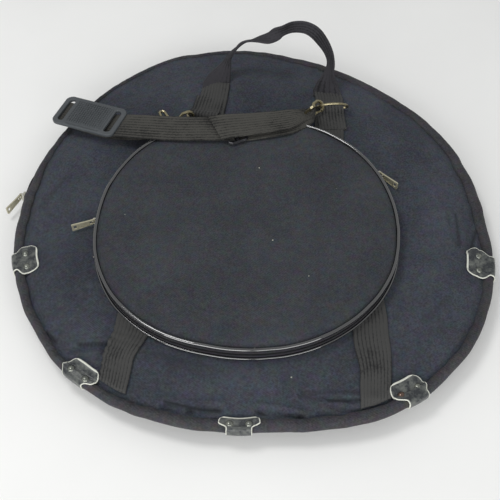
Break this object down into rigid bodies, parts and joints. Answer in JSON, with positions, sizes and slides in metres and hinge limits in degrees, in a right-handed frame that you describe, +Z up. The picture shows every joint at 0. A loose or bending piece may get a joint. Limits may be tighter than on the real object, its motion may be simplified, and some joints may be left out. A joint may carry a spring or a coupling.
{
  "type": "cymbal bag",
  "caption": "Round padded bag for cymbals lying on its back, with a front pocket, rim guards, zips, carrying handle and a clipped-on shoulder strap.",
  "frame": {"origin": "centre of the back face that the bag rests on", "axes": "+Z up from the floor through the bag's front, +Y towards the bag's top where the carrying handle is, +X to the right seen from the front"},
  "size_m": [0.6085, 0.6025, 0.1266],
  "materials": {
    "panel_fabric": "charcoal woven polyester, padded",
    "webbing": "ribbed brownish black webbing",
    "piping": "glossy black vinyl piping",
    "guard_leather": "glossy black leather-like vinyl",
    "nickel": "warm nickel plating, lightly worn",
    "zip_teeth": "black woven tape with black coil teeth",
    "pad_rubber": "matte dark grey moulded pad"
  },
  "bodies": {
    "bag": {"back_panel": "panel_fabric", "back_binding": "webbing", "lower_gusset": "panel_fabric", "main_zip_lower_tape": "zip_teeth", "main_zip_left_tape": "zip_teeth", "main_zip_right_tape": "zip_teeth", "front_panel": "panel_fabric", "front_binding": "webbing", "rim_guard_1": "guard_leather", "rim_guard_2": "guard_leather", "rim_guard_3": "guard_leather", "rim_guard_4": "guard_leather", "rim_guard_5": "guard_leather", "rivet_1a": "nickel", "rivet_1b": "nickel", "rivet_2a": "nickel", "rivet_2b": "nickel", "rivet_3a": "nickel", "rivet_3b": "nickel", "rivet_4a": "nickel", "rivet_4b": "nickel", "rivet_5a": "nickel", "rivet_5b": "nickel", "left_band": "webbing", "right_band": "webbing", "left_ring_tab": "webbing", "right_ring_tab": "webbing", "pocket_wall": "panel_fabric", "pocket_base_piping": "piping", "pocket_top_panel": "panel_fabric", "pocket_top_piping": "piping", "shoulder_strap": "webbing", "strap_return": "webbing", "tri_glide": "nickel", "left_swivel_eye": "nickel", "right_swivel_eye": "nickel"},
    "front_cover_flap": {"front_flap": "panel_fabric", "flap_binding": "webbing", "main_zip_flap_tape": "zip_teeth", "left_flap_band": "webbing", "right_flap_band": "webbing"},
    "handle": {"carrying_handle": "webbing"},
    "main_zip_slider": {"main_slider": "nickel"},
    "main_zip_pull": {"main_pull": "nickel"},
    "pocket_front_flap": {"pocket_flap": "panel_fabric", "pocket_flap_piping": "piping", "pocket_skirt": "panel_fabric"},
    "left_pocket_slider": {"pocket_left_slider": "nickel"},
    "left_pocket_pull": {"pocket_left_pull": "nickel"},
    "right_pocket_slider": {"pocket_right_slider": "nickel"},
    "right_pocket_pull": {"pocket_right_pull": "nickel"},
    "left_ring": {"left_d_ring": "nickel"},
    "right_ring": {"right_d_ring": "nickel"},
    "left_hook": {"left_snap_hook": "nickel"},
    "right_hook": {"right_snap_hook": "nickel"},
    "left_gate": {"left_hook_gate": "nickel"},
    "right_gate": {"right_hook_gate": "nickel"},
    "pad": {"shoulder_pad": "pad_rubber"}
  },
  "joints": [
    {"name": "front_flap_fold", "type": "hinge", "parent": "bag", "child": "front_cover_flap", "pos_m": [0, 0.19, 0.0352], "axis": [1, 0, 0], "range_deg": [0, 90]},
    {"name": "handle_swing", "type": "hinge", "parent": "front_cover_flap", "child": "handle", "pos_m": [0, 0.221, 0.0385], "axis": [-1, 0, 0], "range_deg": [-35, 25]},
    {"name": "main_slider_run", "type": "hinge", "parent": "bag", "child": "main_zip_slider", "pos_m": [0, 0, 0.0156], "axis": [0, 0, 1], "range_deg": [-176, 0]},
    {"name": "main_pull_swing", "type": "hinge", "parent": "main_zip_slider", "child": "main_zip_pull", "pos_m": [-0.29612, 0.01034, 0.0156], "axis": [0, 0, -1], "range_deg": [-15, 120]},
    {"name": "pocket_flap_fold", "type": "hinge", "parent": "bag", "child": "pocket_front_flap", "pos_m": [0, 0.053, 0.0568], "axis": [-1, 0, 0], "range_deg": [0, 90]},
    {"name": "left_pocket_slider_run", "type": "hinge", "parent": "bag", "child": "left_pocket_slider", "pos_m": [0, -0.042, 0.0427], "axis": [0, 0, 1], "range_deg": [-30, 180]},
    {"name": "left_pocket_pull_swing", "type": "hinge", "parent": "left_pocket_slider", "child": "left_pocket_pull", "pos_m": [-0.18678, -0.04428, 0.0427], "axis": [0, 0, -1], "range_deg": [-58, 90]},
    {"name": "right_pocket_slider_run", "type": "hinge", "parent": "bag", "child": "right_pocket_slider", "pos_m": [0, -0.042, 0.0427], "axis": [0, 0, 1], "range_deg": [-180, 0]},
    {"name": "right_pocket_pull_swing", "type": "hinge", "parent": "right_pocket_slider", "child": "right_pocket_pull", "pos_m": [0.15824, 0.05726, 0.0427], "axis": [0, 0, 1], "range_deg": [-9, 130]},
    {"name": "left_ring_swing", "type": "hinge", "parent": "bag", "child": "left_ring", "pos_m": [-0.07495, 0.147, 0.04], "axis": [0.9908, -0.1351, 0], "range_deg": [-6, 6]},
    {"name": "right_ring_swing", "type": "hinge", "parent": "bag", "child": "right_ring", "pos_m": [0.09527, 0.174, 0.04], "axis": [0.9908, 0.1351, 0], "range_deg": [-6, 6]},
    {"name": "left_hook_swivel", "type": "hinge", "parent": "bag", "child": "left_hook", "pos_m": [-0.11317, 0.12853, 0.04632], "axis": [0.8786, 0.4728, -0.0674], "range_deg": [-15, 15]},
    {"name": "right_hook_swivel", "type": "hinge", "parent": "bag", "child": "right_hook", "pos_m": [0.06476, 0.14951, 0.05462], "axis": [0.6248, 0.7551, -0.1987], "range_deg": [-15, 11]},
    {"name": "left_gate_hinge", "type": "hinge", "parent": "left_hook", "child": "left_gate", "pos_m": [-0.10352, 0.13147, 0.04004], "axis": [0.4664, -0.8193, 0.3334], "range_deg": [0, 14], "stiffness_Nm_per_rad": 0.02, "springref_deg": -5.73},
    {"name": "right_gate_hinge", "type": "hinge", "parent": "right_hook", "child": "right_gate", "pos_m": [0.07398, 0.15392, 0.04857], "axis": [0.623, -0.3287, 0.7098], "range_deg": [0, 14], "stiffness_Nm_per_rad": 0.02, "springref_deg": -5.73},
    {"name": "pad_slide", "type": "slide", "parent": "bag", "child": "pad", "axis": [-0.9526, 0.3003, -0.0488], "range_m": [0, 0.008]}
  ]
}
